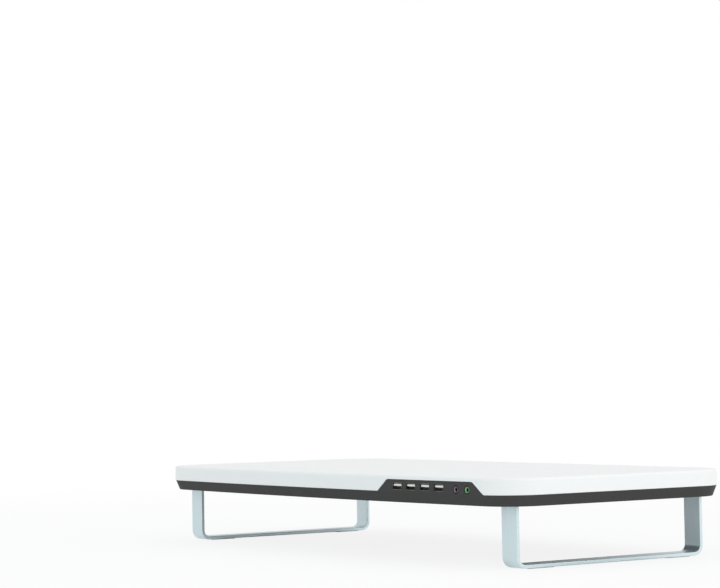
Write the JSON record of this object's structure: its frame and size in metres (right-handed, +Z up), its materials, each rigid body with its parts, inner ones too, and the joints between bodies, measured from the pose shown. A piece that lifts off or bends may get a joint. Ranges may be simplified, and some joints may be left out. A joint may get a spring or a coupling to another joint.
{
  "type": "monitor riser stand",
  "caption": "Low white monitor riser on two bent flat-bar legs, with USB and audio sockets let into a dark tray along its front edge.",
  "frame": {"origin": "on the table, under the middle of the body's bounding box", "axes": "+X along the front edge to the right as seen from the front, +Y from the front to the back, +Z up"},
  "size_m": [0.545, 0.25, 0.0725],
  "materials": {
    "white_plastic": "satin white moulding with a fine even grain",
    "dark_plastic": "dark grey, fine texture",
    "leg_aluminium": "satin anodised, pale blue-grey",
    "pad_rubber": "thin soft pad",
    "zinc_steel": "zinc plated",
    "black_screw": "black plated",
    "board_green": "solder mask",
    "socket_shell": "nickel plated sheet",
    "socket_tongue": "off-white moulding",
    "contact_gold": "gold plated",
    "contact_tin": "tin plated",
    "socket_black": "black moulding",
    "ring_pink": "pink moulding",
    "ring_green": "green moulding",
    "connector_ivory": "natural nylon",
    "cable_grey": "soft PVC",
    "can_aluminium": "drawn can"
  },
  "bodies": {
    "root": {"board_screws": "zinc_steel", "bottom_tray": "dark_plastic", "bracket_screws": "zinc_steel", "cable_connector_front": "connector_ivory", "cable_connector_rear": "connector_ivory", "cover_screws": "black_screw", "flat_cable": "cable_grey", "foot_pads": "pad_rubber", "headphone_jack_body": "socket_black", "headphone_jack_contacts": "contact_tin", "headphone_jack_ring": "ring_green", "hub_board": "board_green", "hub_capacitors": "can_aluminium", "hub_chip": "socket_black", "hub_chip_leads": "contact_tin", "hub_crystal": "can_aluminium", "hub_small_parts": "socket_black", "left_leg": "leg_aluminium", "leg_bracket_left_back": "zinc_steel", "leg_bracket_left_front": "zinc_steel", "leg_bracket_right_back": "zinc_steel", "leg_bracket_right_front": "zinc_steel", "leg_screws": "zinc_steel", "mic_jack_body": "socket_black", "mic_jack_contacts": "contact_tin", "mic_jack_ring": "ring_pink", "rear_board": "board_green", "rear_headphone_jack_body": "socket_black", "rear_headphone_jack_contacts": "contact_tin", "rear_headphone_jack_ring": "ring_green", "rear_mic_jack_body": "socket_black", "rear_mic_jack_contacts": "contact_tin", "rear_mic_jack_ring": "ring_pink", "rear_usb_inlet_shell": "socket_shell", "rear_usb_inlet_tongue": "socket_black", "right_leg": "leg_aluminium", "top_cover": "white_plastic", "usb_port_1_contacts": "contact_gold", "usb_port_1_shell": "socket_shell", "usb_port_1_tongue": "socket_tongue", "usb_port_2_contacts": "contact_gold", "usb_port_2_shell": "socket_shell", "usb_port_2_tongue": "socket_tongue", "usb_port_3_contacts": "contact_gold", "usb_port_3_shell": "socket_shell", "usb_port_3_tongue": "socket_tongue", "usb_port_4_contacts": "contact_gold", "usb_port_4_shell": "socket_shell", "usb_port_4_tongue": "socket_tongue"}
  },
  "joints": []
}
